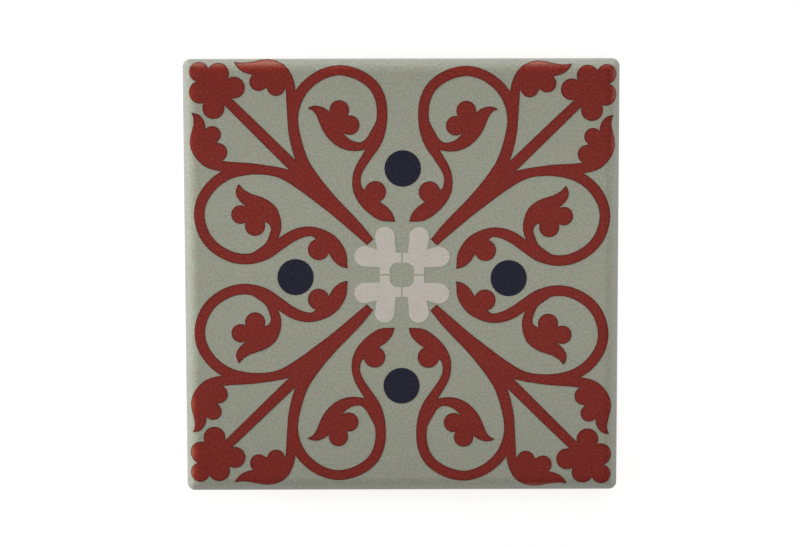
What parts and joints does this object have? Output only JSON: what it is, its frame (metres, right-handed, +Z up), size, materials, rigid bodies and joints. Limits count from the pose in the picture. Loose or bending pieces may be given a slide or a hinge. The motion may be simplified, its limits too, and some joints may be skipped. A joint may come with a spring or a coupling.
{
  "type": "ceramic coaster",
  "caption": "Square cork-backed ceramic coaster with a rounded rim, printed with red scrollwork, navy dots and a pale middle flower on a matte sage ground.",
  "frame": {"origin": "middle of the cork's underside, where the coaster rests on the table", "axes": "+Z up out of the printed face, +Y towards the print's upper edge in the picture, +X to its right"},
  "size_m": [0.09, 0.09, 0.0079],
  "materials": {
    "matte_ceramic": "matte",
    "red_print": "matte",
    "navy_print": "matte",
    "pale_print": "matte",
    "adhesive": "satin",
    "cork": "matte"
  },
  "bodies": {
    "root": {"ceramic_tile": "matte_ceramic", "adhesive_film": "adhesive", "cork_backing": "cork", "scroll_spray_ne": "red_print", "scroll_spray_nw": "red_print", "scroll_spray_sw": "red_print", "scroll_spray_se": "red_print", "flower_quarter_ne": "pale_print", "flower_quarter_nw": "pale_print", "flower_quarter_sw": "pale_print", "flower_quarter_se": "pale_print", "navy_dot_n": "navy_print", "navy_dot_e": "navy_print", "navy_dot_s": "navy_print", "navy_dot_w": "navy_print"}
  },
  "joints": []
}
